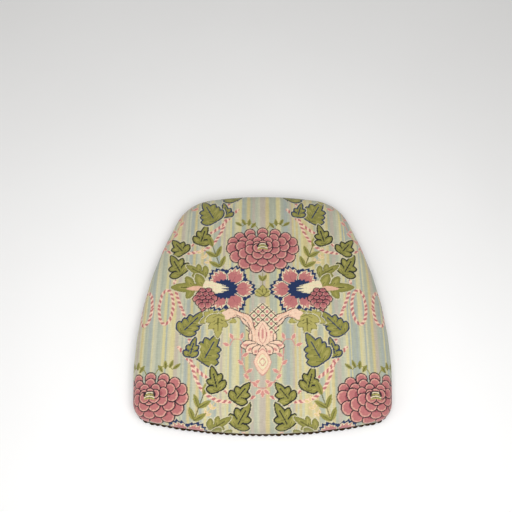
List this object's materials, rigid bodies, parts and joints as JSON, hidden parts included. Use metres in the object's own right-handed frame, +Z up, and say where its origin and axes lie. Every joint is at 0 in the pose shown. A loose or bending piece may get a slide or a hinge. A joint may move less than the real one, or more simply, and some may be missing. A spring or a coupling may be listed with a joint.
{
  "type": "chair seat pad",
  "caption": "Upholstered dining chair seat pad: tapestry over a foam crown on a plywood board, with a domed nail trim and a cambric dust cover, screwed on from below.",
  "frame": {"origin": "middle of the pad's box at the underside of the dust cover", "axes": "+Z up out of the seat, -Y to the front of the chair, +X to the sitter's left"},
  "size_m": [0.4498, 0.451, 0.067],
  "materials": {
    "tapestry": "woven floral tapestry",
    "cambric": "black non-woven cambric",
    "plywood": "sanded birch plywood",
    "foam": "cut polyurethane foam",
    "soft_foam": "cut soft polyurethane foam",
    "wadding": "polyester wadding",
    "zinc_steel": "bright zinc plated",
    "aged_bronze": "antiqued bronze"
  },
  "bodies": {
    "root": {"dust_cover": "cambric", "base_board": "plywood", "foam_core": "foam", "crown_foam": "soft_foam", "wadding": "wadding", "cover": "tapestry", "nail_strip": "aged_bronze", "t_nut_front_left": "zinc_steel", "t_nut_front_right": "zinc_steel", "t_nut_rear_left": "zinc_steel", "t_nut_rear_right": "zinc_steel", "nail_01": "aged_bronze", "nail_02": "aged_bronze", "nail_03": "aged_bronze", "nail_04": "aged_bronze", "nail_05": "aged_bronze", "nail_06": "aged_bronze", "nail_07": "aged_bronze", "nail_08": "aged_bronze", "nail_09": "aged_bronze", "nail_10": "aged_bronze", "nail_11": "aged_bronze", "nail_12": "aged_bronze", "nail_13": "aged_bronze", "nail_14": "aged_bronze", "nail_15": "aged_bronze", "nail_16": "aged_bronze", "nail_17": "aged_bronze", "nail_18": "aged_bronze", "nail_19": "aged_bronze", "nail_20": "aged_bronze", "nail_21": "aged_bronze", "nail_22": "aged_bronze", "nail_23": "aged_bronze", "nail_24": "aged_bronze", "nail_25": "aged_bronze", "nail_26": "aged_bronze", "nail_27": "aged_bronze", "nail_28": "aged_bronze"}
  },
  "joints": []
}
